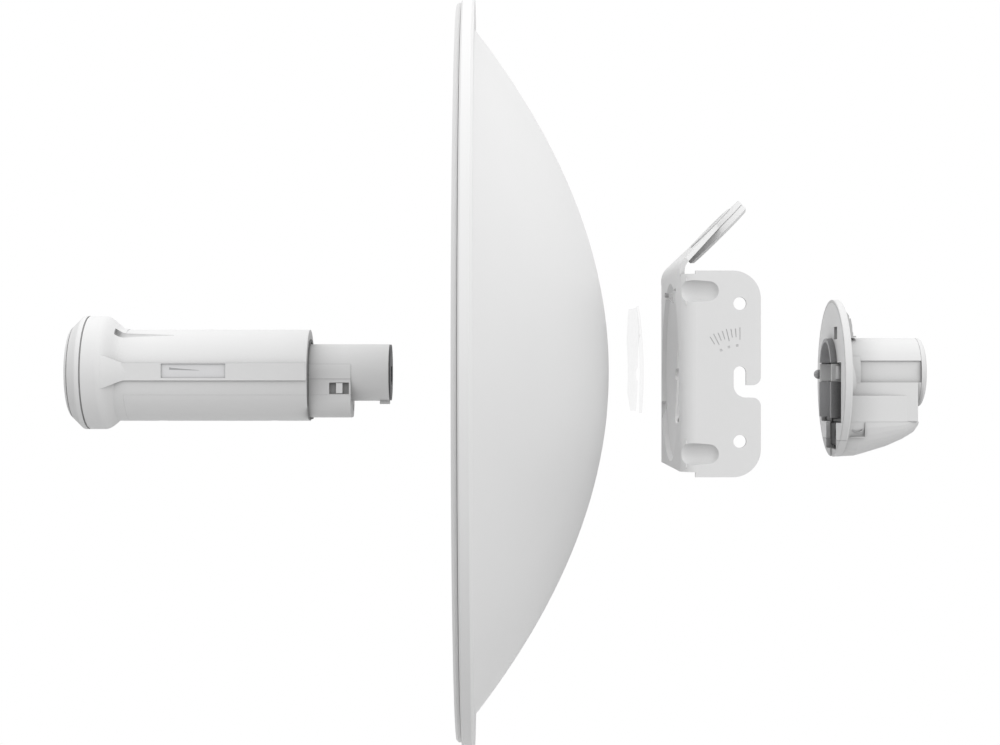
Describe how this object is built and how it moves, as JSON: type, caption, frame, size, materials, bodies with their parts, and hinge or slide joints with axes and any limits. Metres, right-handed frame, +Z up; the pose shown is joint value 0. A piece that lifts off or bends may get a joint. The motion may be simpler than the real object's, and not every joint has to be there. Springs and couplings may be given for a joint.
{
  "type": "dish antenna",
  "caption": "Parabolic dish antenna for a point-to-point radio link, drawn apart along its axis: feed, reflector, pad, pole bracket and rear housing.",
  "frame": {"origin": "elevation pivot of the bracket: the closed end of the ears' hook slot, midway between the ears", "axes": "+Z up, +X to the rear, so the dish looks along -X; +Y completes the right-handed frame"},
  "size_m": [0.4793, 0.42, 0.42],
  "materials": {
    "dish_paint": "satin powder coat",
    "bracket_steel": "satin powder coat",
    "white_plastic": "fine moulded texture",
    "grey_plastic": "moulded",
    "dark_plastic": "moulded",
    "lens_plastic": "satin window",
    "pad_film": "milky translucent sheet",
    "seal_rubber": "matt",
    "circuit_board": "solder mask",
    "bare_metal": "brushed",
    "brass_plate": "plated"
  },
  "bodies": {
    "mount_body": {"bracket": "bracket_steel", "eye_grommet": "bracket_steel"},
    "dish_body": {"dish_reflector": "dish_paint", "rim_trim": "white_plastic"},
    "pad_body": {"mounting_pad": "pad_film"},
    "feed_body": {"feed_front_cap": "white_plastic", "feed_upper_shell": "white_plastic", "feed_lower_shell": "white_plastic", "feed_neck": "white_plastic", "feed_block": "white_plastic", "status_lenses": "lens_plastic", "radiator_disc": "brass_plate", "radiator_board": "circuit_board", "radiator_patches": "brass_plate", "feed_waveguide": "bare_metal", "main_board": "circuit_board", "shield_cans": "bare_metal", "heat_spreader": "bare_metal", "ethernet_jack": "dark_plastic", "shell_screws": "bare_metal", "shoulder_seal": "seal_rubber"},
    "button_body": {"reset_button": "dark_plastic"},
    "near_latch_body": {"feed_latch_near": "white_plastic"},
    "far_latch_body": {"feed_latch_far": "white_plastic"},
    "housing_body": {"housing_shell": "white_plastic", "housing_disc": "white_plastic", "latch_collar": "grey_plastic", "locating_peg": "grey_plastic", "rear_cap": "white_plastic", "cable_grommet": "seal_rubber"},
    "near_finger_body": {"snap_finger_near": "white_plastic"},
    "far_finger_body": {"snap_finger_far": "white_plastic"},
    "door_body": {"cable_door": "white_plastic"}
  },
  "joints": [
    {"name": "dish_slide", "type": "slide", "parent": "mount_body", "child": "dish_body", "axis": [1, 0, 0], "range_m": [0, 0.0402]},
    {"name": "pad_slide", "type": "slide", "parent": "mount_body", "child": "pad_body", "axis": [1, 0, 0], "range_m": [0, 0.0223]},
    {"name": "feed_slide", "type": "slide", "parent": "dish_body", "child": "feed_body", "axis": [1, 0, 0], "range_m": [0, 0.1642]},
    {"name": "housing_slide", "type": "slide", "parent": "mount_body", "child": "housing_body", "axis": [-1, 0, 0], "range_m": [0, 0.082]},
    {"name": "door_slide", "type": "slide", "parent": "housing_body", "child": "door_body", "axis": [1, 0, 0], "range_m": [0, 0.045]},
    {"name": "reset_press", "type": "slide", "parent": "feed_body", "child": "button_body", "axis": [-1, 0, 0], "range_m": [0, 0.0008], "stiffness_N_per_m": 400},
    {"name": "near_latch_press", "type": "hinge", "parent": "feed_body", "child": "near_latch_body", "pos_m": [-0.2174, -0.01495, -0.0062], "axis": [1, 0, 0], "range_deg": [0, 6], "stiffness_Nm_per_rad": 0.02},
    {"name": "far_latch_press", "type": "hinge", "parent": "feed_body", "child": "far_latch_body", "pos_m": [-0.2174, 0.01495, -0.0062], "axis": [-1, 0, 0], "range_deg": [0, 6], "stiffness_Nm_per_rad": 0.02},
    {"name": "near_finger_press", "type": "hinge", "parent": "housing_body", "child": "near_finger_body", "pos_m": [0.0655, -0.01825, 0], "axis": [0, 0, -1], "range_deg": [0, 2.4], "stiffness_Nm_per_rad": 0.05},
    {"name": "far_finger_press", "type": "hinge", "parent": "housing_body", "child": "far_finger_body", "pos_m": [0.0655, 0.01825, 0], "axis": [0, 0, 1], "range_deg": [0, 2.4], "stiffness_Nm_per_rad": 0.05}
  ],
  "couplings": [
    {"joint": "pad_slide", "follows": "dish_slide", "ratio": 0.5535}
  ]
}
